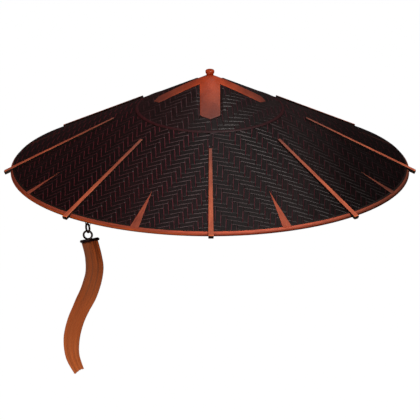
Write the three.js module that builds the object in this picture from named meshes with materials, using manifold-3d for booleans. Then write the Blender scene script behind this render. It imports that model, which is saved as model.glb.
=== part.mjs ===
// A wide conical hat, woven and lacquered, with battens, a rim hoop, a strap over the apex and one ribbon.
// Millimetres, +Z up, -Y to the front. The origin is on the hat's axis, where a head carries it.

import * as THREE from 'three';
import { mergeVertices } from 'three/addons/utils/BufferGeometryUtils.js';
import Module from 'manifold-3d';

const wasm = await Module();
wasm.setup();

// Cone
const rimRadius = 240;
const coneHeight = 127.2;
const rimEdgeHeight = 4.2;
const wall = 2.6;
const seatAboveRim = 103;
const roundSegments = 96;
const cutterMargin = 5;

// Crown, seam band and skirt
const seamRadius = 88.3;
const seamWidth = 2.6;
const gap = 0.3;

// Rim hoop and its points. The outline's heights are above the hoop's lower face.
const hoopWidth = 3.0;
const hoopProud = 0.5;
const hoopOutline = [
  { inset: 0.8, height: 0 },
  { inset: 0, height: 1.0 },
  { inset: 0, height: 3.0 },
  { inset: 0.4, height: 4.1 },
  { inset: 1.5, height: 5.4 },
];
const pointCount = 8;
const pointProud = 0.9;
const pointTipRadius = 183;
const pointTipWidth = 0.8;
const pointBaseWidth = 11;
const pointLap = 1.2;

// Ribs
const ribCount = 8;
const ribInnerRadius = 114.8;
const ribOuterRadius = 247.0;
const ribInnerWidth = 4.7;
const ribOuterWidth = 6.8;
const ribProud = 2.6;
const ribStepInset = 1.2;
const ribLapDepth = 1.5;
const ribLapClearance = 0.7;

// Strap, let into the crown so that its face lies just below the weave
const strapThickness = 1.0;
const strapSink = 0.3;
const strapArmWidth = 24.2;
const strapShoulderRadius = 61.5;
const strapTipRadius = 67.3;

// Knob: heights above the rim's lower face
const knobNeckRadius = 3.8;
const knobRadius = 5.4;
const knobTopRadius = 3.7;
const knobRounding = 0.35;
const knobWidestHeight = 129.1;
const knobTopHeight = 131.3;
const knobSides = 32;

// Chain at the front left of the rim
const chainAzimuth = 38.35;
const staplePinDiameter = 0.9;
const stapleReach = 3.5;
const stapleBend = 0.6;
const stapleHoleDiameter = 1.5;
const stapleHoleDepth = 3.0;
const stapleSides = 12;
const stapleSteps = 40;
const ringWire = 1.75;
const ringSides = 12;
const ringSegments = 36;
const linkRingDiameter = 12.8;
const linkRingTurn = -67.5;
const lowerRingDiameter = 12.5;
const lowerRingTurn = -8;
const barLength = 25.4;
const barHeight = 3.0;
const barDepth = 3.4;
const barCornerBevel = 0.7;
const barEndBevel = 0.6;
const barEndTaper = 0.4;
const barTurn = 28;
const barShift = 2.6;
const barBelowRim = 22.6;

// Ribbon: its sections below the bar, in millimetres and degrees. side and back are measured from the
// bar's middle, turn swings the width about the vertical and tilt lifts its right-hand edge.
const ribbonThickness = 1.2;
const ribbonSteps = 26;
const ribbonSections = [
  { drop: 0, side: 0, back: 0, turn: 28, tilt: 0, width: 22 },
  { drop: 18.3, side: 4.4, back: -2, turn: 24, tilt: -2, width: 22 },
  { drop: 37, side: 5.5, back: -5, turn: 8, tilt: 3, width: 22 },
  { drop: 61, side: -0.5, back: -5, turn: 0, tilt: -24.6, width: 22 },
  { drop: 82.6, side: -9.7, back: -2, turn: -27, tilt: -15.6, width: 21.6 },
  { drop: 102.8, side: -17.2, back: 2, turn: -29, tilt: -7, width: 21.8 },
  { drop: 125.1, side: -21.6, back: 5, turn: -27, tilt: 6.8, width: 21.8 },
  { drop: 146.9, side: -20.4, back: 4, turn: -29, tilt: 20, width: 19.6 },
  { drop: 164.6, side: -13.9, back: 0, turn: -25, tilt: 16.5, width: 15 },
];

// The cone's line and places measured from it
const slope = Math.atan((coneHeight - rimEdgeHeight) / rimRadius);
const tanSlope = Math.tan(slope);
const apexZ = coneHeight - seatAboveRim;
const rimZ = -seatAboveRim;
const hoopInnerRadius = rimRadius - hoopWidth;
const hoopMiddleRadius = rimRadius - hoopWidth / 2;

const degrees = (value) => THREE.MathUtils.degToRad(value);

// Height of the cone's outer face at a radius, raised by a lift along the face's normal
const coneZ = (radius, lift) => apexZ - radius * tanSlope + lift / Math.cos(slope);

// Point at a distance down the slope from the apex, lifted along the normal, as radius and height
const onSlope = (station, lift) => new THREE.Vector2(
  station * Math.cos(slope) + lift * Math.sin(slope),
  apexZ - station * Math.sin(slope) + lift * Math.cos(slope),
);

const point = (x, y) => new THREE.Vector2(x, y);

function toSolid(geometry) {
  const bare = geometry.clone();
  bare.deleteAttribute('normal');
  bare.deleteAttribute('uv');
  const merged = mergeVertices(bare, 1e-4);
  return new wasm.Manifold(new wasm.Mesh({
    numProp: 3,
    vertProperties: new Float32Array(merged.attributes.position.array),
    triVerts: new Uint32Array(merged.index.array),
  }));
}

function toGeometry(solid) {
  const mesh = solid.getMesh();
  const geometry = new THREE.BufferGeometry();
  geometry.setAttribute('position', new THREE.BufferAttribute(new Float32Array(mesh.vertProperties), 3));
  geometry.setIndex(new THREE.BufferAttribute(new Uint32Array(mesh.triVerts), 1));
  geometry.computeVertexNormals();
  return geometry;
}

// A closed section of radius and height, turned about the vertical axis
function turned(section, segments = roundSegments) {
  const closed = [...section, section[0]];
  const geometry = new THREE.LatheGeometry(closed, segments);
  geometry.rotateX(Math.PI / 2);
  return toSolid(geometry);
}

// An outline in plan, raised between two heights
function prism(outline, low, high) {
  const geometry = new THREE.ExtrudeGeometry(new THREE.Shape(outline), {
    depth: high - low,
    bevelEnabled: false,
  });
  geometry.translate(0, 0, low);
  return toSolid(geometry);
}

// Part of the cone's wall between two radii and two lifts
function conePart(innerRadius, outerRadius, lowLift, highLift = 0) {
  return turned([
    point(innerRadius, coneZ(innerRadius, lowLift)),
    point(outerRadius, coneZ(outerRadius, lowLift)),
    point(outerRadius, coneZ(outerRadius, highLift)),
    point(innerRadius, coneZ(innerRadius, highLift)),
  ]);
}

const material = (color, roughness, metalness) => new THREE.MeshStandardMaterial({
  color,
  roughness,
  metalness,
});

const finishes = {
  weave: () => material(0x1c1818, 0.35, 0.0),
  seam: () => material(0x4a2226, 0.6, 0.0),
  hoop: () => material(0x8b4330, 0.5, 0.0),
  rib: () => material(0xb5573f, 0.5, 0.0),
  strap: () => material(0xa0492f, 0.45, 0.0),
  iron: () => material(0x141112, 0.4, 0.9),
  ribbon: () => material(0x96471f, 0.85, 0.0),
};

const hat = new THREE.Group();

function addPiece(name, solid, finish) {
  const mesh = new THREE.Mesh(toGeometry(solid), finishes[finish]());
  mesh.name = name;
  hat.add(mesh);
  return mesh;
}

// The strap's outline in plan, four arms with a shallow point each, grown by a margin on every side
function strapOutline(margin) {
  const half = strapArmWidth / 2;
  const tipAngle = Math.atan2(half, strapTipRadius - strapShoulderRadius);
  const tip = strapTipRadius + margin / Math.sin(tipAngle);
  const shoulder = strapShoulderRadius + margin * Math.tan((Math.PI / 2 - tipAngle) / 2);
  const side = half + margin;
  const outline = [];
  for (let arm = 0; arm < 4; arm += 1) {
    const corners = [point(shoulder, -side), point(tip, 0), point(shoulder, side), point(side, side)];
    outline.push(...corners.map((corner) => corner.rotateAround(point(0, 0), (arm * Math.PI) / 2)));
  }
  return outline;
}

// Part of the cone's wall inside the strap's outline
function strapPart(margin, lowLift, highLift) {
  const sheet = conePart(0, strapTipRadius + cutterMargin, lowLift, highLift);
  return sheet.intersect(prism(strapOutline(margin), rimZ, apexZ + cutterMargin));
}

// Woven cone: the crown with the strap's bed in it, the flat band over its seam, and the skirt
function addCone() {
  const seamInner = seamRadius - seamWidth / 2;
  const seamOuter = seamRadius + seamWidth / 2;
  const strapBed = strapPart(gap, -(strapSink + strapThickness + gap), wall);
  addPiece('crown', conePart(0, seamInner - gap, -wall).subtract(strapBed), 'weave');
  addPiece('seam_band', conePart(seamInner, seamOuter, -wall), 'seam');
  addPiece('skirt', conePart(seamOuter + gap, hoopInnerRadius - gap, -wall), 'weave');
}

// Where the chain hangs, and the way along the hoop that the staple's two legs are set apart
const chainAngle = degrees(chainAzimuth);
const chainPlace = new THREE.Vector3(
  -hoopMiddleRadius * Math.sin(chainAngle),
  -hoopMiddleRadius * Math.cos(chainAngle),
  rimZ,
);
const stapleDirection = new THREE.Vector3(Math.cos(chainAngle), -Math.sin(chainAngle), 0);

function stapleHole(side) {
  const hole = new THREE.CylinderGeometry(
    stapleHoleDiameter / 2,
    stapleHoleDiameter / 2,
    2 * stapleHoleDepth,
    stapleSides,
  );
  hole.rotateX(Math.PI / 2);
  const centre = chainPlace.clone().addScaledVector(stapleDirection, side * stapleReach);
  hole.translate(centre.x, centre.y, centre.z);
  return toSolid(hole);
}

// Rim hoop: a rounded band round the cone's edge, with long points that run up the skirt from it
function addHoop() {
  let hoop = turned([
    point(hoopInnerRadius, rimZ),
    ...hoopOutline.map(({ inset, height }) => point(rimRadius - inset, rimZ + height)),
    point(hoopInnerRadius, coneZ(hoopInnerRadius, hoopProud)),
  ]);
  const blade = conePart(pointTipRadius - cutterMargin, rimRadius, gap, pointProud);
  for (let index = 0; index < pointCount; index += 1) {
    const azimuth = ((index + 0.5) * 2 * Math.PI) / pointCount;
    const corner = (radius, side) => point(radius, side)
      .rotateAround(point(0, 0), azimuth);
    const outline = [
      corner(pointTipRadius, -pointTipWidth / 2),
      corner(hoopInnerRadius + pointLap, -pointBaseWidth / 2),
      corner(hoopInnerRadius + pointLap, pointBaseWidth / 2),
      corner(pointTipRadius, pointTipWidth / 2),
    ];
    const cutter = prism(outline, rimZ, apexZ);
    hoop = hoop.add(blade.intersect(cutter));
  }
  addPiece('rim_hoop', hoop.subtract(stapleHole(-1)).subtract(stapleHole(1)), 'hoop');
}

// Ribs: tapered battens on the skirt whose outer ends lap over the hoop
function addRibs() {
  const stationOf = (radius) => radius / Math.cos(slope);
  const overHoop = hoopProud + gap;
  const stepStation = stationOf(hoopInnerRadius - ribStepInset);
  const lapStation = stationOf(rimRadius + ribLapClearance);
  const side = new THREE.Shape([
    onSlope(stationOf(ribInnerRadius), gap),
    onSlope(stepStation, gap),
    onSlope(stepStation, overHoop),
    onSlope(lapStation, overHoop),
    onSlope(lapStation, -ribLapDepth),
    onSlope(stationOf(ribOuterRadius), -ribLapDepth),
    onSlope(stationOf(ribOuterRadius), ribProud),
    onSlope(stationOf(ribInnerRadius), ribProud),
  ]);
  const ribGeometry = new THREE.ExtrudeGeometry(side, { depth: 1, bevelEnabled: false });
  ribGeometry.translate(0, 0, -0.5);
  const position = ribGeometry.attributes.position;
  for (let index = 0; index < position.count; index += 1) {
    const along = (position.getX(index) - ribInnerRadius) / (ribOuterRadius - ribInnerRadius);
    const width = THREE.MathUtils.lerp(ribInnerWidth, ribOuterWidth, along);
    position.setZ(index, position.getZ(index) * width);
  }
  ribGeometry.rotateX(Math.PI / 2);
  const rib = toSolid(ribGeometry);
  for (let index = 0; index < ribCount; index += 1) {
    const mesh = addPiece(`rib_${index + 1}`, rib, 'rib');
    mesh.rotation.z = -Math.PI / 2 + (index * 2 * Math.PI) / ribCount;
  }
}

// Strap: four arms that meet over the apex, each with a shallow point at its end
function addStrap() {
  addPiece('top_strap', strapPart(0, -(strapSink + strapThickness), -strapSink), 'strap');
}

// Knob: a turned button with a tapered neck, hollowed underneath to sit over the strap
function addKnob() {
  const seat = gap - strapSink;
  const widest = knobWidestHeight - seatAboveRim;
  const top = knobTopHeight - seatAboveRim;
  addPiece('knob', turned([
    point(0, coneZ(0, seat)),
    point(knobNeckRadius, coneZ(knobNeckRadius, seat)),
    point(knobNeckRadius + knobRounding, coneZ(knobNeckRadius, seat) + 2 * knobRounding),
    point(knobRadius - knobRounding, widest - 2 * knobRounding),
    point(knobRadius, widest),
    point(knobRadius - knobRounding, widest + 2 * knobRounding),
    point(knobTopRadius + knobRounding, top - knobRounding),
    point(knobTopRadius, top),
    point(0, top),
  ], knobSides), 'strap');
}

// A bent wire: a round section carried along a path
function bentWire(path, diameter) {
  const section = [];
  for (let index = 0; index < stapleSides; index += 1) {
    const angle = (index * 2 * Math.PI) / stapleSides;
    section.push(point((diameter / 2) * Math.cos(angle), (diameter / 2) * Math.sin(angle)));
  }
  const geometry = new THREE.ExtrudeGeometry(new THREE.Shape(section), {
    steps: stapleSteps,
    extrudePath: path,
    bevelEnabled: false,
  });
  return toSolid(geometry);
}

// A closed wire ring that stands upright, turned about the vertical by an angle in degrees
function uprightRing(diameter, turn, centre) {
  const middle = (diameter - ringWire) / 2;
  const section = [];
  for (let index = 0; index < ringSides; index += 1) {
    const angle = (index * 2 * Math.PI) / ringSides;
    section.push(point(
      middle + (ringWire / 2) * Math.cos(angle),
      (ringWire / 2) * Math.sin(angle),
    ));
  }
  return turned(section, ringSegments)
    .rotate([90, 0, 0])
    .rotate([0, 0, turn])
    .translate([centre.x, centre.y, centre.z]);
}

const ringTopZ = rimZ - gap - ringWire / 2;
const linkRingMiddle = (linkRingDiameter - ringWire) / 2;
const lowerRingMiddle = (lowerRingDiameter - ringWire) / 2;
const linkRingBottomZ = ringTopZ - 2 * linkRingMiddle;
const lowerRingTopZ = linkRingBottomZ + ringWire + gap;

function addChain() {
  const crossZ = ringTopZ - ringWire / 2 - gap - staplePinDiameter / 2;
  const legTop = rimZ + stapleHoleDepth - gap;
  const at = (across, height) => chainPlace.clone()
    .addScaledVector(stapleDirection, across)
    .setZ(height);
  const staple = new THREE.CurvePath();
  staple.add(new THREE.LineCurve3(at(-stapleReach, legTop), at(-stapleReach, crossZ + stapleBend)));
  staple.add(new THREE.QuadraticBezierCurve3(
    at(-stapleReach, crossZ + stapleBend),
    at(-stapleReach, crossZ),
    at(-stapleReach + stapleBend, crossZ),
  ));
  staple.add(new THREE.LineCurve3(
    at(-stapleReach + stapleBend, crossZ),
    at(stapleReach - stapleBend, crossZ),
  ));
  staple.add(new THREE.QuadraticBezierCurve3(
    at(stapleReach - stapleBend, crossZ),
    at(stapleReach, crossZ),
    at(stapleReach, crossZ + stapleBend),
  ));
  staple.add(new THREE.LineCurve3(at(stapleReach, crossZ + stapleBend), at(stapleReach, legTop)));
  addPiece('rim_eye', bentWire(staple, staplePinDiameter), 'iron');

  const linkCentre = chainPlace.clone().setZ(ringTopZ - linkRingMiddle);
  addPiece('link_ring', uprightRing(linkRingDiameter, linkRingTurn, linkCentre), 'iron');
}

// The bar's middle, a little to the right of the ring that is soldered on it
const barDirection = new THREE.Vector3(Math.cos(degrees(barTurn)), Math.sin(degrees(barTurn)), 0);
const barMiddle = chainPlace.clone()
  .addScaledVector(barDirection, barShift)
  .setZ(rimZ - barBelowRim);

function addClamp() {
  const half = barHeight / 2;
  const deep = barDepth / 2;
  const section = [];
  for (const [sideSign, depthSign] of [[1, -1], [1, 1], [-1, 1], [-1, -1]]) {
    const cuts = [
      point(sideSign * (half - barCornerBevel), depthSign * deep),
      point(sideSign * half, depthSign * (deep - barCornerBevel)),
    ];
    section.push(...(sideSign * depthSign < 0 ? cuts : cuts.reverse()));
  }
  const straight = barLength - 2 * barEndBevel;
  const bar = new THREE.ExtrudeGeometry(new THREE.Shape(section), {
    depth: straight,
    bevelEnabled: true,
    bevelThickness: barEndBevel,
    bevelSize: barEndTaper,
    bevelOffset: -barEndTaper,
    bevelSegments: 1,
  });
  bar.translate(0, 0, -straight / 2);
  bar.rotateY(Math.PI / 2);
  bar.rotateZ(degrees(barTurn));
  bar.translate(barMiddle.x, barMiddle.y, barMiddle.z);
  const ringCentre = chainPlace.clone().setZ(lowerRingTopZ - lowerRingMiddle);
  const ring = uprightRing(lowerRingDiameter, lowerRingTurn, ringCentre);
  addPiece('ribbon_clamp', toSolid(bar).add(ring), 'iron');
}

// Ribbon: a flat strip lofted through its sections, with smooth curves between them
function addRibbon() {
  const columns = ['drop', 'side', 'back', 'turn', 'tilt', 'width'];
  const last = ribbonSections.length - 1;
  const valueAt = (column, share) => {
    const place = share * last;
    const index = Math.min(Math.floor(place), last - 1);
    const row = (offset) => ribbonSections[THREE.MathUtils.clamp(index + offset, 0, last)][column];
    const curve = new THREE.CatmullRomCurve3(
      [-1, 0, 1, 2].map((offset) => new THREE.Vector3(row(offset), offset, 0)),
      false,
      'catmullrom',
      0.5,
    );
    return curve.getPoint((1 + place - index) / 3).x;
  };
  const topZ = barMiddle.z - barHeight / 2 - gap;
  const sections = [];
  for (let step = 0; step <= ribbonSteps; step += 1) {
    const [drop, side, back, turn, tilt, width] = columns.map(
      (column) => valueAt(column, step / ribbonSteps),
    );
    const middle = new THREE.Vector3(barMiddle.x + side, barMiddle.y + back, topZ - drop);
    const across = new THREE.Vector3(
      Math.cos(degrees(turn)) * Math.cos(degrees(tilt)),
      Math.sin(degrees(turn)) * Math.cos(degrees(tilt)),
      Math.sin(degrees(tilt)),
    );
    sections.push({ middle, across, width });
  }
  const vertices = [];
  const triangles = [];
  sections.forEach(({ middle, across, width }, index) => {
    const before = sections[Math.max(index - 1, 0)].middle;
    const after = sections[Math.min(index + 1, ribbonSteps)].middle;
    const down = after.clone().sub(before).normalize();
    const front = new THREE.Vector3().crossVectors(down, across).normalize();
    const corners = [[-1, -1], [1, -1], [1, 1], [-1, 1]];
    for (const [sideSign, frontSign] of corners) {
      const corner = middle.clone()
        .addScaledVector(across, (sideSign * width) / 2)
        .addScaledVector(front, (frontSign * ribbonThickness) / 2);
      if (index === 0) {
        corner.z = topZ;
      }
      vertices.push(corner.x, corner.y, corner.z);
    }
    if (index > 0) {
      const low = index * 4;
      const high = low - 4;
      for (let side = 0; side < 4; side += 1) {
        const next = (side + 1) % 4;
        triangles.push(high + side, low + next, low + side);
        triangles.push(high + side, high + next, low + next);
      }
    }
  });
  const end = ribbonSteps * 4;
  triangles.push(0, 2, 1, 0, 3, 2);
  triangles.push(end, end + 1, end + 2, end, end + 2, end + 3);
  const solid = new wasm.Manifold(new wasm.Mesh({
    numProp: 3,
    vertProperties: new Float32Array(vertices),
    triVerts: new Uint32Array(triangles),
  }));
  addPiece('ribbon', solid, 'ribbon');
}

addCone();
addHoop();
addRibs();
addStrap();
addKnob();
addChain();
addClamp();
addRibbon();

export default hat;
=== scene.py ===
import math
from dataclasses import dataclass

import bmesh
import bpy
import numpy
from mathutils import Matrix, Vector, noise


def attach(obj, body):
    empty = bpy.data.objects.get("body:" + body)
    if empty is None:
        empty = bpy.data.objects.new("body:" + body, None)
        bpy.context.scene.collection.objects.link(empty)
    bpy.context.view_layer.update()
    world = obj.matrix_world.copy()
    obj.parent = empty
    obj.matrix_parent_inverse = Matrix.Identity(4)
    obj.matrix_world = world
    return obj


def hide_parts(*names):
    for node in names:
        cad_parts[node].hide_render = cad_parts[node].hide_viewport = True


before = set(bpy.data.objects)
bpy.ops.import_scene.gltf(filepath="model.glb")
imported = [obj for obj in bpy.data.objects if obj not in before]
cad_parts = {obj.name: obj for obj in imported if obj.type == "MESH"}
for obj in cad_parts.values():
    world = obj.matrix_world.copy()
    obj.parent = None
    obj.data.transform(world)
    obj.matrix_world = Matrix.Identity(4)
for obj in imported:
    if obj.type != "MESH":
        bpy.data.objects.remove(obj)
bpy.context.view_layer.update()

# Every length is in metres. The hat's axis is Z, and the front is -Y.
RIM_RADIUS = 0.240
RIM_Z = -0.103
APEX_Z = 0.0242
SLOPE = math.atan(123.0 / 240)
COS_SLOPE = math.cos(SLOPE)
SIN_SLOPE = math.sin(SLOPE)
TAN_SLOPE = math.tan(SLOPE)
HOOP_INNER = 0.237
SEAM_RADIUS = 0.0883
SEAM_HALF = 0.0013


def turned(x, y, turn):
    """Plan point turned about the axis."""
    return x * math.cos(turn) - y * math.sin(turn), x * math.sin(turn) + y * math.cos(turn)


def lifted(radius, lift):
    """Radius and height straight above the cone's line, where it is a lift off the cone."""
    return radius, APEX_Z - radius * TAN_SLOPE + lift / COS_SLOPE


def on_cone(x, y, lift):
    """Point straight above the plan point (x, y), a lift off the cone's outer face."""
    return Vector((x, y, lifted(math.hypot(x, y), lift)[1]))


def off_cone(radius, lift):
    """Radius and height of a point of the cone's line, moved off it along its normal."""
    return radius + lift * SIN_SLOPE, APEX_Z - radius * TAN_SLOPE + lift * COS_SLOPE


def from_unrolled(x, y, lift):
    """Point of the cone whose place in the unrolled sheet is x right of the front line, y below the apex."""
    radius, height = off_cone(math.hypot(x, y) * COS_SLOPE, lift)
    return Vector((*turned(0, -radius, math.atan2(x, y) / COS_SLOPE), height))


# Camera
VIEW_WIDTH = 0.5057
VIEW_ELEVATION = math.radians(18.58)
VIEW_TURN = math.radians(0.297)
VIEW_CENTRE_Z = -0.14995
VIEW_SIDE = 0.00012
VIEW_DISTANCE = 2.0


def add_camera():
    """Parallel camera that looks at the hat from the front, a little above."""
    forward = Vector((
        math.sin(VIEW_TURN) * math.cos(VIEW_ELEVATION),
        math.cos(VIEW_TURN) * math.cos(VIEW_ELEVATION),
        -math.sin(VIEW_ELEVATION),
    ))
    right = Vector((math.cos(VIEW_TURN), -math.sin(VIEW_TURN), 0))
    up = right.cross(forward)
    place = Vector((0, 0, VIEW_CENTRE_Z)) + right * VIEW_SIDE - forward * VIEW_DISTANCE
    data = bpy.data.cameras.new("camera")
    data.type = "ORTHO"
    data.ortho_scale = VIEW_WIDTH
    data.clip_end = 20
    camera = bpy.data.objects.new("camera", data)
    camera.matrix_world = Matrix((
        (right.x, up.x, -forward.x, place.x),
        (right.y, up.y, -forward.y, place.y),
        (right.z, up.z, -forward.z, place.z),
        (0, 0, 0, 1),
    ))
    bpy.context.scene.collection.objects.link(camera)
    bpy.context.scene.camera = camera


add_camera()


# Materials. A colour is a linear triple, a grey level or a six-digit hexadecimal code.
def linear(colour):
    """Linear triple of a colour."""
    if isinstance(colour, tuple):
        return colour
    if isinstance(colour, (int, float)):
        return (colour, colour, colour)
    parts = [int(colour[place:place + 2], 16) / 255 for place in (0, 2, 4)]
    return tuple(part / 12.92 if part <= 0.04045 else ((part + 0.055) / 1.055) ** 2.4 for part in parts)


class Nodes:
    """Short calls for building one material's nodes."""

    def __init__(self, name, roughness, specular=0.5, metallic=0.0):
        self.material = bpy.data.materials.new(name)
        self.material.use_nodes = True
        self.tree = self.material.node_tree
        self.shader = self.tree.nodes["Principled BSDF"]
        self.shader.inputs["Roughness"].default_value = roughness
        self.shader.inputs["Specular IOR Level"].default_value = specular
        self.shader.inputs["Metallic"].default_value = metallic
        places = self.add("ShaderNodeTexCoord")
        self.place = places.outputs["Object"]
        self.uv = places.outputs["UV"]

    def add(self, kind, **values):
        node = self.tree.nodes.new(kind)
        for key, value in values.items():
            setattr(node, key, value)
        return node

    def link(self, source, target):
        self.tree.links.new(source, target)

    def feed(self, value, target):
        """Gives a socket a link, a colour or a number."""
        if isinstance(value, bpy.types.NodeSocket):
            self.link(value, target)
        elif target.type == "RGBA":
            target.default_value = (*linear(value), 1)
        else:
            target.default_value = value

    def part(self, vector, axis):
        """One coordinate, X, Y or Z, of a vector."""
        node = self.add("ShaderNodeSeparateXYZ")
        self.link(vector, node.inputs["Vector"])
        return node.outputs[axis]

    def mapped(self, value, start, end, low=0.0, high=1.0):
        """Number that goes from low to high while the value goes from start to end."""
        node = self.add("ShaderNodeMapRange")
        for name, number in (("From Min", start), ("From Max", end), ("To Min", low), ("To Max", high)):
            node.inputs[name].default_value = number
        self.link(value, node.inputs["Value"])
        return node.outputs["Result"]

    def sideways(self):
        """From 0 at the hat's left edge to 1 at its right edge."""
        return self.mapped(self.part(self.place, "X"), -RIM_RADIUS, RIM_RADIUS)

    def noise(self, vector, scale, detail, rough=0.55):
        """Noise; a scale of three numbers stretches it along each coordinate of its own."""
        if isinstance(scale, tuple):
            stretch = self.add("ShaderNodeMapping")
            stretch.inputs["Scale"].default_value = scale
            self.link(vector, stretch.inputs["Vector"])
            vector = stretch.outputs["Vector"]
            scale = 1.0
        node = self.add("ShaderNodeTexNoise")
        node.inputs["Scale"].default_value = scale
        node.inputs["Detail"].default_value = detail
        node.inputs["Roughness"].default_value = rough
        self.link(vector, node.inputs["Vector"])
        return node.outputs["Fac"]

    def threads(self, direction, scale):
        """Threads of a cloth that lie side by side along a direction of the UV."""
        node = self.add("ShaderNodeTexWave", bands_direction=direction)
        node.inputs["Scale"].default_value = scale
        self.link(self.uv, node.inputs["Vector"])
        return node.outputs["Color"]

    def ramp(self, value, stops):
        """Colours along a value, from stops of (place, colour)."""
        stops = list(stops)
        node = self.add("ShaderNodeValToRGB")
        points = node.color_ramp.elements
        while len(points) < len(stops):
            points.new(0.5)
        for point, (place, colour) in zip(points, stops):
            point.position = place
            point.color = (*linear(colour), 1)
        self.link(value, node.inputs["Fac"])
        return node.outputs["Color"]

    def mix(self, share, first, second, blend="MIX"):
        node = self.add("ShaderNodeMix", data_type="RGBA", blend_type=blend)
        self.feed(share, node.inputs["Factor"])
        self.feed(first, node.inputs[6])
        self.feed(second, node.inputs[7])
        return node.outputs[2]

    def times(self, first, second):
        """Product of two colours."""
        return self.mix(1.0, first, second, "MULTIPLY")

    def maths(self, operation, first, second):
        node = self.add("ShaderNodeMath", operation=operation)
        self.feed(first, node.inputs[0])
        self.feed(second, node.inputs[1])
        return node.outputs[0]

    def finish(self, colour, bump, strength, distance, roughness=None):
        """Gives the shader its colour, its roughness if that varies, and its bump."""
        self.link(colour, self.shader.inputs["Base Color"])
        if roughness is not None:
            self.link(roughness, self.shader.inputs["Roughness"])
        node = self.add("ShaderNodeBump")
        node.inputs["Strength"].default_value = strength
        node.inputs["Distance"].default_value = distance
        self.link(bump, node.inputs["Height"])
        self.link(node.outputs["Normal"], self.shader.inputs["Normal"])
        return self.material


# Lacquer across the hat, from its left edge to its right one, with painted light: wine red on the left from
# painted reddish light, black with grey edges and a painted sheen in the middle, and dull on the right from
# painted shade.
STRIP_PAINTED_LIGHT = [
    (0.0, (1.25, 0.55, 0.64)),
    (0.2, (1.6, 0.85, 0.95)),
    (0.31, (2.6, 1.6, 1.75)),
    (0.42, (2.3, 1.8, 1.9)),
    (0.55, (1.9, 1.95, 1.95)),
    (0.72, (3.5, 4.0, 4.0)),
    (0.84, 1.0),
    (1.0, (0.45, 0.36, 0.38)),
]
STRIP_EDGE_PAINTED_LIGHT = [
    (0.0, (0.7, 0.26, 0.32)),
    (0.3, (0.95, 0.42, 0.5)),
    (0.42, (1.4, 1.1, 1.15)),
    (0.55, (1.15, 1.1, 1.1)),
    (0.62, 0.9),
    (0.72, 0.6),
    (0.84, (0.32, 0.3, 0.3)),
    (1.0, (0.2, 0.16, 0.17)),
]
STRIP_GLOSS = [(0.0, 0.8), (0.5, 1.0), (0.62, 0.72), (0.75, 0.5), (1.0, 0.35)]
STRIP_EDGE_FADE = 0.03


def strip_material(name, near_edge_shade, far_edge_highlight, near_share, far_share, lightness):
    """Black lacquered strip with painted shade on its near edge and a painted highlight on its far edge; its
    UV runs across from 0 to 1, and along in metres.
    """
    nodes = Nodes(name, 0.45)
    sideways = nodes.sideways()
    streaks = nodes.noise(nodes.uv, (9, 60, 1), 4)
    body = nodes.ramp(streaks, [(0.3, "060404"), (0.55, "0c0909"), (0.8, "181314")])
    blotches = nodes.noise(nodes.place, 14, 2)
    body = nodes.times(body, nodes.ramp(blotches, [(0.35, 1.0), (0.7, (1.25, 0.9, 0.92))]))
    # Painted light on the body across the hat: painted reddish light on the left, a painted sheen in the
    # middle, painted shade on the right.
    body = nodes.times(nodes.times(body, lightness), nodes.ramp(sideways, STRIP_PAINTED_LIGHT))
    across = nodes.maths("ADD", nodes.part(nodes.uv, "X"), nodes.mapped(streaks, 0, 1, -0.05, 0.05))
    near_end = near_share + STRIP_EDGE_FADE
    far_start = 1 - far_share - STRIP_EDGE_FADE
    places = (0.0, near_share, near_end, far_start, 1 - far_share, 1.0)
    on_edge = nodes.ramp(across, zip(places, (1.0, 1.0, 0.0, 0.0, 1.0, 1.0)))
    # Near edges take painted shade and far edges a painted highlight, as if the bevels caught the light.
    edges = nodes.ramp(across, zip(places, (near_edge_shade, near_edge_shade, 0.0, 0.0, far_edge_highlight, far_edge_highlight)))
    # Painted light on the edges across the hat: reddish on the left, painted highlights brightest in the
    # middle, painted shade on the right.
    edges = nodes.times(edges, nodes.ramp(sideways, STRIP_EDGE_PAINTED_LIGHT))
    gloss = nodes.maths("MULTIPLY", nodes.mapped(on_edge, 0, 1, 0.22, 0.3), nodes.ramp(sideways, STRIP_GLOSS))
    nodes.link(gloss, nodes.shader.inputs["Specular IOR Level"])
    roughness = nodes.mix(on_edge, nodes.mapped(streaks, 0, 1, 0.4, 0.55), 0.46)
    return nodes.finish(nodes.mix(on_edge, body, edges), streaks, 0.25, 0.0002, roughness)


def batten_highlight_and_tones(nodes):
    """Painted highlight as a light line near the batten's outer end, and a duller and greyer tone toward its
    inner end.
    """
    height = nodes.mapped(nodes.part(nodes.place, "Z"), RIM_Z, RIM_Z + 0.07)
    return nodes.ramp(height, [
        # Painted highlight along the top of the outer end.
        (0.054, (1.75, 1.8, 1.3)),
        (0.059, 1.0),
        (0.45, (0.96, 0.97, 0.98)),
        (0.8, (0.66, 0.76, 0.92)),
        (1.0, (0.46, 0.62, 0.88)),
    ])


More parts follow.
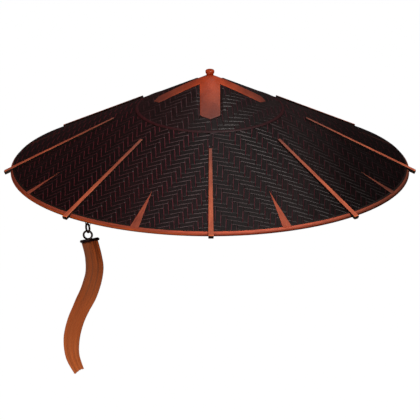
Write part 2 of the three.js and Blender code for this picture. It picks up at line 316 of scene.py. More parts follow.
def hoop_painted_light_and_tones(nodes):
    """Dull toward the hat's sides and rear; painted shade darkens its lower edge, painted warm light makes
    that edge golden on the left, and a painted highlight brightens a band above it at the front.
    """
    sideways = nodes.sideways()
    height = nodes.mapped(nodes.part(nodes.place, "Z"), RIM_Z, RIM_Z + 0.006)
    rearward = nodes.mapped(nodes.part(nodes.place, "Y"), 0.04, 0.08, 1.0, 0.3)
    across_hat = nodes.ramp(sideways, [
        (0.0, (0.8, 0.8, 0.85)),
        (0.18, (0.84, 0.84, 0.85)),
        (0.35, (0.96, 0.9, 0.9)),
        (0.6, (1.3, 1.15, 1.05)),
        (0.8, 0.9),
        (0.93, (0.42, 0.48, 0.52)),
        (1.0, (0.32, 0.4, 0.45)),
    ])
    # Painted warm light: a golden band low on the outer face on the left, over painted shade at the very
    # bottom.
    left_painted_warm_light = nodes.ramp(height, [
        (0.12, (0.32, 0.26, 0.03)),
        (0.28, (1.0, 0.94, 0.12)),
        (0.42, (1.1, 0.96, 0.36)),
        (0.58, (0.72, 0.66, 0.58)),
        (0.8, (0.86, 0.84, 0.95)),
        (0.98, (0.8, 0.86, 0.95)),
    ])
    # Painted shade on the lower edge and a painted highlight band near the top of the outer face.
    front_painted_shade_and_highlight = nodes.ramp(height, [
        (0.1, (0.16, 0.07, 0.03)),
        (0.22, (0.26, 0.13, 0.07)),
        (0.36, (0.66, 0.56, 0.46)),
        (0.58, (0.8, 0.74, 0.68)),
        (0.76, (1.24, 1.16, 1.12)),
        (0.92, (1.2, 1.12, 1.1)),
        (0.98, (0.84, 0.88, 0.9)),
    ])
    off_left = nodes.ramp(sideways, [(0.36, 0.0), (0.5, 1.0)])
    return nodes.times(nodes.times(across_hat, rearward), nodes.mix(off_left, left_painted_warm_light, front_painted_shade_and_highlight))


def wood_material(name, colours, roughness, tones=None):
    """Stained wood from dark to light; its UV runs across from 0 to 1, and along in metres."""
    nodes = Nodes(name, roughness, specular=0.3)
    grain = nodes.noise(nodes.uv, (7, 45, 1), 6, rough=0.65)
    fine = nodes.noise(nodes.uv, (34, 90, 1), 2)
    mottle = nodes.noise(nodes.place, 26, 3)
    body = nodes.ramp(grain, zip((0.28, 0.5, 0.74), colours))
    pores = nodes.ramp(fine, [(0.36, (0.72, 0.68, 0.66)), (0.5, 1.0)])
    body = nodes.mix(0.8, body, pores, "MULTIPLY")
    body = nodes.times(body, nodes.ramp(mottle, [(0.3, (0.86, 0.84, 0.82)), (0.7, (1.1, 1.08, 1.05))]))
    if tones:
        body = nodes.times(body, tones(nodes))
    varied = nodes.mapped(grain, 0, 1, roughness - 0.07, roughness + 0.12)
    return nodes.finish(body, grain, 0.3, 0.00025, varied)


def leather_material():
    """Fine-grained leather, brighter at the apex than at the arms' tips, with painted highlights along its
    edges.
    """
    nodes = Nodes("strap_leather", 0.45, specular=0.45)
    cells = nodes.add("ShaderNodeTexVoronoi", feature="DISTANCE_TO_EDGE")
    cells.inputs["Scale"].default_value = 900
    nodes.link(nodes.place, cells.inputs["Vector"])
    grain = nodes.ramp(cells.outputs["Distance"], [(0.0, 0.0), (0.12, 1.0)])
    mottle = nodes.noise(nodes.place, 55, 4)
    body = nodes.ramp(mottle, [(0.3, "9a3f26"), (0.52, "b44b2c"), (0.75, "c65733")])
    down = nodes.mapped(nodes.part(nodes.place, "Z"), 0.018, -0.010)
    body = nodes.times(body, nodes.ramp(down, [
        (0.0, (1.12, 0.95, 0.78)),
        (0.5, (0.74, 0.84, 1.05)),
        (1.0, (0.42, 0.62, 1.1)),
    ]))
    # Painted highlights along both edges of each arm, as if rounded edges caught the light.
    body = nodes.times(body, nodes.ramp(nodes.part(nodes.uv, "X"), [
        (0.145, (1.35, 1.15, 0.95)),
        (0.185, 1.0),
        (0.8, 1.0),
        (0.84, (1.15, 1.2, 1.25)),
    ]))
    body = nodes.mix(0.25, body, grain, "MULTIPLY")
    return nodes.finish(body, grain, 0.12, 0.0002, nodes.mapped(mottle, 0, 1, 0.38, 0.55))


def iron_material():
    """Blackened, hammered iron with a trace of rust."""
    nodes = Nodes("blackened_iron", 0.5, specular=0.3, metallic=0.4)
    hammer = nodes.noise(nodes.place, 420, 3)
    rust = nodes.noise(nodes.place, 160, 4)
    body = nodes.ramp(rust, [(0.35, "1a0d0e"), (0.6, "251314"), (0.8, "3a1c18")])
    return nodes.finish(body, hammer, 0.3, 0.0003, nodes.mapped(hammer, 0, 1, 0.35, 0.6))


def seam_material():
    """Dark wine lacquer with fine ridges across the band."""
    nodes = Nodes("seam_lacquer", 0.5, specular=0.35)
    ridges = nodes.noise(nodes.uv, (5, 160, 1), 3)
    body = nodes.ramp(ridges, [(0.3, "281014"), (0.55, "36171b"), (0.8, "452023")])
    # Across the hat: redder and lighter on the left as painted reddish light, as on the strips; darker in the
    # middle and on the right.
    body = nodes.times(body, nodes.ramp(nodes.sideways(), [
        (0.3, (1.2, 0.7, 0.8)),
        (0.5, 0.8),
        (0.8, (0.9, 0.7, 0.7)),
    ]))
    return nodes.finish(body, ridges, 0.3, 0.0003)


# The ribbon's colours run over 1 / CLOTH_SHADE_SCALE metres.
CLOTH_SHADE_SCALE = 5.6


def cloth_material():
    """Rust brown cloth, darker high up as painted shade under the brim, with painted light on its top right;
    its UV runs across from 0 to 1, and along in metres.
    """
    nodes = Nodes("ribbon_cloth", 0.88, specular=0.2)
    along = nodes.part(nodes.uv, "Y")
    down = nodes.maths("MULTIPLY", along, CLOTH_SHADE_SCALE)
    # Painted shade: darker high up, under the hat's brim.
    body = nodes.ramp(down, [(0.0, "844420"), (0.18, "8c4820"), (0.5, "a15628"), (1.0, "bc6c3a")])
    streaks = nodes.noise(nodes.uv, (4.5, 9, 1), 3)
    body = nodes.times(body, nodes.ramp(streaks, [
        (0.34, (0.84, 0.86, 0.95)),
        (0.52, 1.0),
        (0.7, (1.1, 1.0, 0.85)),
    ]))
    # Painted light: the top right, where the hoop's shadow falls, is made lighter.
    near_top = nodes.ramp(along, [(0.012, 1.0), (0.034, 0.0)])
    near_side = nodes.ramp(nodes.part(nodes.uv, "X"), [(0.3, 0.0), (0.7, 1.0)])
    top_right_painted_light = nodes.times(body, (2.1, 1.9, 1.6))
    body = nodes.mix(nodes.times(near_top, near_side), body, top_right_painted_light)
    threads = nodes.mix(0.5, nodes.threads("X", 18), nodes.threads("Y", 900))
    body = nodes.mix(0.14, body, threads, "MULTIPLY")
    nodes.shader.inputs["Sheen Weight"].default_value = 0.25
    nodes.shader.inputs["Sheen Roughness"].default_value = 0.5
    return nodes.finish(body, threads, 0.25, 0.0001)


# Each strip's far edge is a grey-pink painted highlight; its near edge is darker as painted shade, wine red
# on the uprights and near black on the crosswise strips.
UPRIGHT = strip_material("strip_upright", "5e2832", "4c383c", 0.06, 0.06, 1.1)
CROSSWISE = strip_material("strip_crosswise", "080506", "443437", 0.06, 0.07, 1.1)
CROWN_UPRIGHT = strip_material("crown_upright", "48202a", "3c2c2e", 0.05, 0.05, 1.5)
CROWN_CROSSWISE = strip_material("crown_crosswise", "080506", "3c3234", 0.06, 0.06, 1.5)
RIB = wood_material("rib_wood", ("9c4832", "c66649", "da7850"), 0.55, batten_highlight_and_tones)
HOOP = wood_material("hoop_wood", ("8c3f2a", "b4573e", "cc6844"), 0.6, hoop_painted_light_and_tones)
# Near-black wood as painted shade on faces that stand in shadow: batten sides and ends, the points' sides and
# the hoop's lip.
PAINTED_SHADE_WOOD = wood_material("painted_shade_wood", ("0c0706", "180d0a", "281711"), 0.6)
KNOB = wood_material("knob_wood", ("8a3416", "b5431b", "cf5a2a"), 0.3)
STRAP = leather_material()
IRON = iron_material()
SEAM = seam_material()
CLOTH = cloth_material()


# Meshes. A shape is a tuple of vertices, faces and one UV for each vertex.
def add_piece(name, shape, materials, stands_for, smooth=False, sides=()):
    """Mesh that rides on the hat, with doubled points joined and its faces turned outward.

    The faces numbered in sides take the second material.
    """
    vertices, faces, uvs = shape
    mesh = bpy.data.meshes.new(name)
    mesh.from_pydata([tuple(vertex) for vertex in vertices], [], faces)
    layer = mesh.uv_layers.new(name="across_along")
    corners = numpy.empty(len(mesh.loops), dtype=numpy.int32)
    mesh.loops.foreach_get("vertex_index", corners)
    layer.data.foreach_set("uv", numpy.asarray(uvs, dtype=numpy.float32)[corners].ravel())
    for side in sides:
        mesh.polygons[side].material_index = 1
    work = bmesh.new()
    work.from_mesh(mesh)
    bmesh.ops.remove_doubles(work, verts=work.verts, dist=1e-6)
    bmesh.ops.dissolve_degenerate(work, edges=work.edges, dist=1e-7)
    bmesh.ops.recalc_face_normals(work, faces=work.faces)
    for face in work.faces:
        face.smooth = smooth
    work.to_mesh(mesh)
    work.free()
    for material in materials:
        mesh.materials.append(material)
    piece = bpy.data.objects.new(name, mesh)
    bpy.context.scene.collection.objects.link(piece)
    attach(piece, "root")
    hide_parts(stands_for)
    return piece


def tube_faces(first, rings, count, closed=False):
    """Quads through rings of count points each, with flat ends, or none where the tube is closed."""
    faces = []
    for ring in range(rings if closed else rings - 1):
        low = first + ring * count
        high = first + (ring + 1) % rings * count
        for index in range(count):
            after = (index + 1) % count
            faces.append((low + index, low + after, high + after, high + index))
    if not closed:
        faces.append(tuple(range(first, first + count)))
        faces.append(tuple(range(first + (rings - 1) * count, first + rings * count)))
    return faces


def sheet_faces(first, rows, columns, flipped=False):
    """Quads of a sheet of points, laid out in rows."""
    faces = []
    for row in range(rows - 1):
        for column in range(columns - 1):
            low = first + row * columns + column
            quad = (low, low + 1, low + columns + 1, low + columns)
            faces.append((quad[0], *quad[:0:-1]) if flipped else quad)
    return faces


def lathe(profile, segments):
    """Shape of a closed profile of (radius, height) points turned about the axis."""
    lengths = [0.0]
    for before, after in zip(profile, profile[1:]):
        lengths.append(lengths[-1] + math.dist(before, after))
    vertices, uvs = [], []
    for segment in range(segments):
        turn = 2 * math.pi * segment / segments
        from_front = min(turn, 2 * math.pi - turn)
        for length, (radius, height) in zip(lengths, profile):
            vertices.append((*turned(0, -radius, turn), height))
            uvs.append((length / lengths[-1], from_front * radius))
    return vertices, tube_faces(0, segments, len(profile), closed=True), uvs


# Weave. A strip's middle lies WEAVE_DEPTH inside the cone, and WEAVE_WAVE above or below that where it
# passes over or under FLOAT others. It is twice WEAVE_HALF thick. Places on strips are in cells. The
# shoulders are the widths of a strip's thin edges. A line along a strip is tried at every TRIAL_STEP for
# the patch's edge. Spans nearer than JOIN_GAP are one run, and a run under SHORTEST_RUN is skipped.
# Rings of points keep END_ROOM from a run's ends. A strip is level beyond CELL_EDGE from a cell's
# middle. GRAIN_SHIFT moves the grain on from strip to strip, in metres.
WEAVE_DEPTH = 0.00078
WEAVE_WAVE = 0.00042
WEAVE_HALF = 0.00040
FLOAT = 3
TURN_LIMIT = math.pi * COS_SLOPE
NEAR_SHOULDER = 0.09
FAR_SHOULDER = 0.13
TRIAL_STEP = 0.08
JOIN_GAP = 0.3
SHORTEST_RUN = 0.12
END_ROOM = 0.02
CELL_EDGE = 0.49
GRAIN_SHIFT = 0.37


@dataclass
class Patch:
    """One half of the skirt's unrolled sheet, from the front line to the rear one, with its grid of cells.

    Cell (0, 0) is centred on the origin, and side and down lead to its neighbours. Upright strips are
    numbered along side and crosswise strips along down, as far as reach each way. Climb is the way
    that the twill's steps go. A mirrored patch lies on the hat's left.
    """

    name: str
    origin: numpy.ndarray
    side: numpy.ndarray
    down: numpy.ndarray
    climb: int
    inner: float
    outer: float
    reach: int
    mirrored: bool = False
    samples: tuple = (-0.32, 0.32)
    middle_points: tuple = ()

    def cell_points(self, columns, rows):
        """Points of the unrolled sheet at cell numbers, which may be fractions."""
        columns = numpy.asarray(columns, dtype=float)[..., None]
        rows = numpy.asarray(rows, dtype=float)[..., None]
        return self.origin + columns * self.side + rows * self.down

    def strip_points(self, upright, across, along):
        """Points of the unrolled sheet at a place across and places along a strip."""
        return self.cell_points(across, along) if upright else self.cell_points(along, across)

    def upright_on_top(self, column, row):
        return (row + self.climb * column) % (2 * FLOAT) < FLOAT

    def depth_inside(self, points):
        """How far each point lies inside the patch, less than nothing outside it."""
        station = numpy.hypot(points[..., 0], points[..., 1])
        turn = numpy.arctan2(points[..., 0], points[..., 1])
        room = numpy.minimum(turn, TURN_LIMIT - turn) * station
        return numpy.minimum(numpy.minimum(self.outer - station, station - self.inner), room)

    def held_turn(self, turn):
        """The turn, held between the front line and the rear one."""
        if turn < -math.pi / 2:
            turn += 2 * math.pi
        return min(max(turn, 0.0), TURN_LIMIT)

    def held_inside(self, point):
        """The point, moved onto the patch's edge if it lies outside."""
        station = min(max(math.hypot(point[0], point[1]), self.inner), self.outer)
        turn = self.held_turn(math.atan2(point[0], point[1]))
        return station * math.sin(turn), station * math.cos(turn)

    def pressed(self, x, y, lift):
        """The lift of a point of a strip, left as it is here; a patch where something lies on the weave
        lowers it.
        """
        return lift


# Crown's grid in plan: where and how far the columns spread apart, the crosswise strips' bow, and the
# uprights' lean
SPREAD_HALF, SPREAD = 0.014, 0.0031
BOW_SLANT, BOW = 0.12, 2.2
LEAN, LEAN_GROWTH = 0.085, 0.7


class CrownPatch(Patch):
    """Crown's weave all round, with its grid laid out in plan and bowed crosswise strips."""

    def cell_points(self, columns, rows):
        columns = numpy.asarray(columns, dtype=float)
        rows = numpy.asarray(rows, dtype=float)
        side = self.origin[0] + columns * self.side[0]
        eased = numpy.clip((side + SPREAD_HALF) / (2 * SPREAD_HALF), 0, 1)
        side = side + SPREAD * eased * eased * (3 - 2 * eased)
        y = self.origin[1] + rows * self.down[1] - BOW_SLANT * side - BOW * side ** 2
        x = side + (LEAN + LEAN_GROWTH * side) * y
        station = numpy.hypot(x, y) / COS_SLOPE
        turn = numpy.arctan2(x, y) * COS_SLOPE
        return numpy.stack([station * numpy.sin(turn), station * numpy.cos(turn)], axis=-1)

    def depth_inside(self, points):
        station = numpy.hypot(points[..., 0], points[..., 1])
        return numpy.minimum(self.outer - station, station - self.inner)

    def held_turn(self, turn):
        return min(max(turn, -TURN_LIMIT), TURN_LIMIT)

    def pressed(self, x, y, lift):
        """The lift, pressed down into the strap's bed."""
        radius = math.hypot(x, y) * COS_SLOPE
        distance = strap_distance(*turned(0, -radius, math.atan2(x, y) / COS_SLOPE))
        share = min(max((distance - BED_MARGIN) / BED_SLOPE, 0.0), 1.0)
        bed = BED_LIFT + lift * BED_RELIEF
        return bed + (lift - bed) * share


def line_spans(patch, upright, across, numbers):
    """Spans of a line's numbers, (from, to), where it lies inside the patch."""
    depth = patch.depth_inside(patch.strip_points(upright, numpy.full_like(numbers, across), numbers))
    spans = []
    low = numbers[0] if depth[0] > 0 else None
    for index in range(1, len(numbers)):
        before, after = depth[index - 1], depth[index]
        if (before > 0) == (after > 0):
            continue
        crossing = numbers[index - 1] + (numbers[index] - numbers[index - 1]) * before / (before - after)
        if after > 0:
            low = crossing
        else:
            spans.append((low, crossing))
            low = None
    if low is not None:
        spans.append((low, numbers[-1]))
    return spans


def joined_spans(spans):
    """Spans of a strip, joined where they overlap or nearly meet."""
    joined = []
    for low, high in sorted(spans):
        if joined and low <= joined[-1][1] + JOIN_GAP:
            joined[-1][1] = max(joined[-1][1], high)
        else:
            joined.append([low, high])
    return joined


def run_places(patch, low, high):
    """Places along a strip's run that get a ring of points."""
    places = [low]
    for cell in range(math.floor(low) - 1, math.ceil(high) + 2):
        inside = [cell + sample for sample in patch.samples]
        places += [place for place in inside if low + END_ROOM < place < high - END_ROOM]
    return places + [high]


def run_limits(spans, low, high):
    """Where a line across the strip starts and ends within a run, or None where it misses the patch."""
    own = [span for span in spans if span[1] > low and span[0] < high]
    return (min(span[0] for span in own), max(span[1] for span in own)) if own else None


def strip_wave(patch, upright, strip, place):
    """How far a strip rises or sinks at a place along it."""
    cell = math.floor(place + 0.5)
    if abs(place - cell) > CELL_EDGE:
        return 0.0
    column, row = (strip, cell) if upright else (cell, strip)
    over = patch.upright_on_top(column, row) == upright
    return WEAVE_WAVE if over else -WEAVE_WAVE


def weave_strips(patch, upright):
    """Shape of all the strips that run one way through a patch."""
    top = (-0.5, -0.5 + NEAR_SHOULDER, *patch.middle_points, 0.5 - FAR_SHOULDER, 0.5)
    section = [(offset, 0.0 if abs(offset) == 0.5 else 1.0) for offset in top]
    section += [(0.5 - FAR_SHOULDER, -1.0), (-0.5 + NEAR_SHOULDER, -1.0)]
    along_length = float(numpy.linalg.norm(patch.down if upright else patch.side))
    numbers = numpy.arange(-patch.reach, patch.reach, TRIAL_STEP)
    vertices, faces, uvs = [], [], []
    for strip in range(-patch.reach, patch.reach):
        spans = {offset: line_spans(patch, upright, strip + offset, numbers) for offset in sorted(top)}
        for low, high in joined_spans([span for found in spans.values() for span in found]):
            if high - low < SHORTEST_RUN:
                continue
            limits = {offset: run_limits(found, low, high) for offset, found in spans.items()}
            places = run_places(patch, low, high)
            faces += tube_faces(len(vertices), len(places), len(section))
            for place in places:
                wave = strip_wave(patch, upright, strip, place)
                for offset, side in section:
                    start, end = limits[offset] or (place, place)
                    own_place = min(max(place, start), end)
                    x, y = patch.held_inside(patch.strip_points(upright, strip + offset, own_place))
                    if patch.mirrored:
                        x = -x
                    lift = patch.pressed(x, y, wave - WEAVE_DEPTH + side * WEAVE_HALF)
                    vertices.append(from_unrolled(x, y, lift))
                    uvs.append((offset + 0.5, own_place * along_length + strip * GRAIN_SHIFT))
    return vertices, faces, uvs


# Strap's outline in plan, the lifts of its two faces at the apex and at the tips, the rounding of its
# upper edges, the scale of its UV, and its bed
STRAP_HALF = 0.0121
STRAP_SHOULDER = 0.0615
STRAP_TIP = 0.0673
STRAP_HIGH, STRAP_LOW = -0.0008, -0.0012
STRAP_UNDER_HIGH, STRAP_UNDER_LOW = -0.0014, -0.0016
STRAP_DROP = 0.0002
STRAP_ROUNDING = 0.0014
STRAP_GRAIN = 30
BED_MARGIN = 0.0006
BED_SLOPE = 0.0028
BED_LIFT = -0.00165
BED_RELIEF = 0.55


def strap_distance(x, y):
    """Distance of a plan point from the strap's outline, less than nothing inside it."""
    along, across = max(abs(x), abs(y)), min(abs(x), abs(y))
    edge = STRAP_TIP - STRAP_SHOULDER
    to_tip = (along - STRAP_SHOULDER) * STRAP_HALF + (across - STRAP_HALF) * edge
    return max(across - STRAP_HALF, to_tip / math.hypot(edge, STRAP_HALF))


SEAM_GAP = 0.0001
HOOP_GAP = 0.0002
SKIRT_INNER = (SEAM_RADIUS + SEAM_HALF + SEAM_GAP) / COS_SLOPE
SKIRT_OUTER = (HOOP_INNER - HOOP_GAP) / COS_SLOPE
CROWN_INNER = 0.0015
CROWN_OUTER = (SEAM_RADIUS - SEAM_HALF - SEAM_GAP) / COS_SLOPE

SKIRT_DOWN = numpy.array([-0.00023, 0.0064])
SKIRT_RIGHT = Patch(
    "skirt_right",
    origin=numpy.array([0.00526, 0.15094]),
    side=numpy.array([0.0066, 0.00106]),
    down=SKIRT_DOWN,
    climb=-1,
    inner=SKIRT_INNER,
    outer=SKIRT_OUTER,
    reach=74,
)
SKIRT_LEFT = Patch(
    "skirt_left",
    origin=numpy.array([0.00451, 0.15388]),
    side=numpy.array([0.00575, 0.00092]),
    down=SKIRT_DOWN,
    climb=-1,
    inner=SKIRT_INNER,
    outer=SKIRT_OUTER,
    reach=84,
    mirrored=True,
)
CROWN = CrownPatch(
    "crown",
    origin=numpy.array([0.015625, 0.05294]),
    side=numpy.array([0.00615, 0.0]),
    down=numpy.array([0.0, 0.00568]),
    climb=1,
    inner=CROWN_INNER,
    outer=CROWN_OUTER,
    reach=36,
    samples=(-0.36, -0.18, 0.0, 0.18, 0.36),
    middle_points=(-0.5 / 3, 0.5 / 3),
)


def add_weave():
    """Woven strips of the skirt and the crown, one piece for each way and patch."""
    for way, upright, skirt_material, crown_material in (
        ("uprights", True, UPRIGHT, CROWN_UPRIGHT),
        ("crosswise", False, CROSSWISE, CROWN_CROSSWISE),
    ):
        for patch, node, material in (
            (SKIRT_RIGHT, "skirt", skirt_material),
            (SKIRT_LEFT, "skirt", skirt_material),
            (CROWN, "crown", crown_material),
        ):
            add_piece(f"{patch.name}_{way}", weave_strips(patch, upright), [material], node)


def add_seam():
    """Softly crowned band between skirt and crown, with lips over the strips' ends."""
    inner, outer = SEAM_RADIUS - SEAM_HALF, SEAM_RADIUS + SEAM_HALF
    lip = 0.0005
    under = -0.0022
    clearance = 0.00005
    crest, fall = 0.0004, 0.0003
    steps = 8
    profile = []
    for step in range(steps + 1):
        share = step / steps
        radius = inner - lip + (outer - inner + 2 * lip) * share
        profile.append(lifted(radius, crest - fall * (2 * share - 1) ** 4))
    for radius, lift in ((outer, clearance), (outer, under), (inner, under), (inner, clearance)):
        profile.append(lifted(radius, lift))
    add_piece("seam_ring", lathe(profile, 192), [SEAM], "seam_band", smooth=True)


# Hoop's profile, from its inner lower edge round to the lip over the strips' ends, and the profile
# edges that carry a painted shadow line along the lip between hoop and weave
HOOP_PROFILE = [
    (0.2370, RIM_Z + 0.0003), (0.2373, RIM_Z), (0.2393, RIM_Z), (0.2398, RIM_Z + 0.0003),
    (0.2400, RIM_Z + 0.0008), (0.2400, RIM_Z + 0.0024), (0.23985, RIM_Z + 0.0029),
    (0.2394, RIM_Z + 0.0036), (0.2386, RIM_Z + 0.0045), (0.2375, RIM_Z + 0.00555),
    lifted(0.2372, 0.0005), lifted(0.2370, 0.00015), lifted(0.2354, 0.00012),
    lifted(0.2354, 0.00005), lifted(0.2370, 0.00005),
]
HOOP_PAINTED_SHADE_EDGES = (9, 10, 11, 12)

# Long points: azimuths in degrees, the share of the full width and the tip's radius at the front and
# elsewhere, the base's radius, half widths, heights and the edges of the section that take painted shade
POINT_AZIMUTHS = (22.75, 67.5, 112.5, 157.5, 202.5, 247.5, 292.5, 337.25)
POINT_FRONT = (1.0, 0.1830)
POINT_ELSEWHERE = (0.7, 0.1965)
POINT_BASE = 0.2384
POINT_TIP_HALF = 0.0001
POINT_BASE_HALF = 0.0057
POINT_SINK = 0.0001
POINT_PROUD = 0.00014
POINT_RISE = 0.0004
POINT_STEPS = 28
POINT_GRAIN_WIDTH = 0.011
POINT_PAINTED_SHADE_EDGES = (0, 5, 6)


def point_section(half, proud):
    """Section of a long point as (side, lift), flat on top with bevelled edges."""
    bevel = min(half * 0.5, 0.0004)
    shoulder = proud - 0.00015
    return [
        (-half, -POINT_SINK),
        (-half, shoulder),
        (-half + bevel, proud),
        (0, proud + 0.00005),
        (half - bevel, proud),
        (half, shoulder),
        (half, -POINT_SINK),
    ]


def add_hoop():
    """Band round the rim, with the long points that run up the skirt from it."""
    vertices, faces, uvs = lathe(HOOP_PROFILE, 256)
    sides = [face for face in range(len(faces)) if face % len(HOOP_PROFILE) in HOOP_PAINTED_SHADE_EDGES]
    for index, azimuth in enumerate(POINT_AZIMUTHS):
        turn = math.radians(azimuth)
        widest, tip = POINT_FRONT if math.cos(turn) > 0.8 else POINT_ELSEWHERE
        rise = POINT_RISE if math.cos(turn) > 0 else 0.0
        first, first_face = len(vertices), len(faces)
        for step in range(POINT_STEPS + 1):
            share = step / POINT_STEPS
            radius = tip + (POINT_BASE - tip) * share
            half = POINT_TIP_HALF + POINT_BASE_HALF * widest * share ** 1.15
            section = point_section(half, POINT_PROUD + rise * share)
            for side, lift in section:
                vertices.append(on_cone(*turned(side, -radius, turn), lift))
                uvs.append((0.5 + side / POINT_GRAIN_WIDTH, radius + index))
        count = len(section)
        faces += tube_faces(first, POINT_STEPS + 1, count)
        own_faces = range(POINT_STEPS * count)
        sides += [first_face + face for face in own_faces if face % count in POINT_PAINTED_SHADE_EDGES]
    add_piece("rim_band", (vertices, faces, uvs), [HOOP, PAINTED_SHADE_WOOD], "rim_hoop", sides=sides)


# Battens: azimuths in degrees, radii of the inner end, the step before the hoop, the drop behind it and
# the outer end, the section's sizes and its edges that take painted shade
RIB_AZIMUTHS = (0, 45.5, 90, 135.5, 180, 224.5, 270, 314.5)
RIB_INNER = 0.1148
RIB_STEP = 0.2358
RIB_LAP = 0.2407
RIB_OUTER = 0.247
RIB_INNER_WIDTH = 0.0038
RIB_OUTER_WIDTH = 0.0066
RIB_TOP = 0.0026
RIB_SOFT = 0.0005
RIB_SINK = -0.0001
RIB_OVER_HOOP = 0.0005
RIB_LAP_SINK = -0.0015
RIB_STEPS = 24
RIB_RUN = RIB_STEP - RIB_INNER
RIB_GRAIN_WIDTH = 0.0136
RIB_GRAIN_SLANT = 20
RIB_GRAIN_SHIFT = 0.7
RIB_PAINTED_SHADE_EDGES = (0, 7, 8)

# Rings along a batten as (radius, lift of the underside, shrink of the section)
RIB_RINGS = [
    (RIB_INNER, RIB_SINK, 0.0003),
    (RIB_INNER + 0.0003, RIB_SINK, 0.0),
    *((RIB_INNER + RIB_RUN * step / RIB_STEPS, RIB_SINK, 0.0) for step in range(1, RIB_STEPS)),
    (RIB_STEP, RIB_SINK, 0.0),
    (RIB_STEP, RIB_OVER_HOOP, 0.0),
    (RIB_LAP, RIB_OVER_HOOP, 0.0),
    (RIB_LAP, RIB_LAP_SINK, 0.0),
    (RIB_OUTER - 0.0009, RIB_LAP_SINK, 0.0),
    (RIB_OUTER, RIB_LAP_SINK + 0.0002, 0.00051429),
]


def rib_section(half, top, bottom):
    """Section of a batten as (side, lift), with rounded upper edges."""
    edge = RIB_SOFT * 0.3
    return [
        (-half, bottom),
        (-half, top - RIB_SOFT),
        (-half + edge, top - edge),
        (-half + RIB_SOFT, top),
        (0, top + 0.00003),
        (half - RIB_SOFT, top),
        (half - edge, top - edge),
        (half, top - RIB_SOFT),
        (half, bottom),
    ]


def add_ribs():
    """Flat battens whose outer ends lap down over the hoop; their sides and ends take painted shade."""
    for index, azimuth in enumerate(RIB_AZIMUTHS):
        turn = math.radians(azimuth)
        vertices, uvs = [], []
        for radius, bottom, shrink in RIB_RINGS:
            share = (radius - RIB_INNER) / (RIB_OUTER - RIB_INNER)
            half = (RIB_INNER_WIDTH + (RIB_OUTER_WIDTH - RIB_INNER_WIDTH) * share) / 2 - shrink
            section = rib_section(half, RIB_TOP - shrink, bottom)
            for side, lift in section:
                out, height = off_cone(radius, lift)
                vertices.append((*turned(side, -out, turn), height))
                across = 0.5 + side / RIB_GRAIN_WIDTH + lift * RIB_GRAIN_SLANT
                uvs.append((across, radius / COS_SLOPE + index * RIB_GRAIN_SHIFT))
        count = len(section)
        faces = tube_faces(0, len(RIB_RINGS), count)
        outer_end = (len(RIB_RINGS) - 2) * count
        sides = [
            face for face in range(len(faces)) if face % count in RIB_PAINTED_SHADE_EDGES or face >= outer_end
        ]
        shape = (vertices, faces, uvs)
        add_piece(f"batten_{index + 1}", shape, [RIB, PAINTED_SHADE_WOOD], f"rib_{index + 1}", sides=sides)


def strap_point(turn, share, fraction, upper):
    """Point of a strap arm's upper or lower face, and its UV within the arm."""
    along = STRAP_TIP * share
    limit = min(along, STRAP_HALF)
    if along > STRAP_SHOULDER:
        limit = STRAP_HALF * (STRAP_TIP - along) / (STRAP_TIP - STRAP_SHOULDER)
    across = limit * math.sin(fraction * math.pi / 2)
    if upper:
        inward = -strap_distance(along, across)
        rounding = STRAP_DROP * max(0.0, 1 - inward / STRAP_ROUNDING) ** 1.5
        lift = STRAP_HIGH + (STRAP_LOW - STRAP_HIGH) * share - rounding
    else:
        lift = STRAP_UNDER_HIGH + (STRAP_UNDER_LOW - STRAP_UNDER_HIGH) * share
    return on_cone(*turned(across, -along, turn), lift), (0.5 + across * STRAP_GRAIN, along)


def add_strap():
    """Thin leather strap of four arms, seated in its bed, with rounded upper edges."""
    along_steps, across_steps = 40, 14
    rows, columns = along_steps + 1, across_steps + 1
    vertices, faces, uvs = [], [], []
    for arm in range(4):
        top = len(vertices)
        under = top + rows * columns
        for upper in (True, False):
            for step in range(rows):
                for place in range(columns):
                    fraction = 2 * place / across_steps - 1
                    point, uv = strap_point(arm * math.pi / 2, step / along_steps, fraction, upper)
                    vertices.append(point)
                    uvs.append((uv[0], uv[1] + arm))
        faces += sheet_faces(top, rows, columns)
        faces += sheet_faces(under, rows, columns)
        for step in range(along_steps):
            for low in (step * columns, step * columns + across_steps):
                faces.append((top + low, top + low + columns, under + low + columns, under + low))
    add_piece("cross_strap", (vertices, faces, uvs), [STRAP], "top_strap")


def add_knob():
    """Turned button with a waisted neck."""
    profile = [
        (0.0, 0.0226), (0.0030, 0.0208), (0.0042, 0.0203), (0.0045, 0.0206),
        (0.0044, 0.0212), (0.0043, 0.0222), (0.00435, 0.0231), (0.0047, 0.0237),
        (0.0051, 0.0242), (0.0053, 0.0247), (0.0054, 0.0254), (0.0054, 0.0266),
        (0.0053, 0.0272), (0.0050, 0.0277), (0.0046, 0.0280), (0.0040, 0.02822),
        (0.0030, 0.0283), (0.0015, 0.0283), (0.0, 0.0283),
    ]
    add_piece("turned_knob", lathe(profile, 64), [KNOB], "knob", smooth=True)


# Chain: the axis that both rings hang on, their outer radii, heights and turns, and the bar
CHAIN_X, CHAIN_Y = -0.14798, -0.18704
UPPER_RADIUS, UPPER_Z, UPPER_TURN = 0.0065, -0.1097, math.radians(-67.5)
LOWER_RADIUS, LOWER_Z, LOWER_TURN = 0.00635, -0.11855, math.radians(-8)
RING_WIRE = 0.0025
RING_WEAR = 0.00056
BAR_X, BAR_Y, BAR_Z = -0.14568, -0.18582, -0.1256
BAR_TURN = math.radians(28)
BAR_HALF_LONG = 0.0127
BAR_HALF_HIGH = 0.0016
BAR_HALF_DEEP = 0.0018
BAR_BLUNT_FROM = 0.93
BAR_BLUNTING = 0.55
BAR_WOBBLE = 0.00006


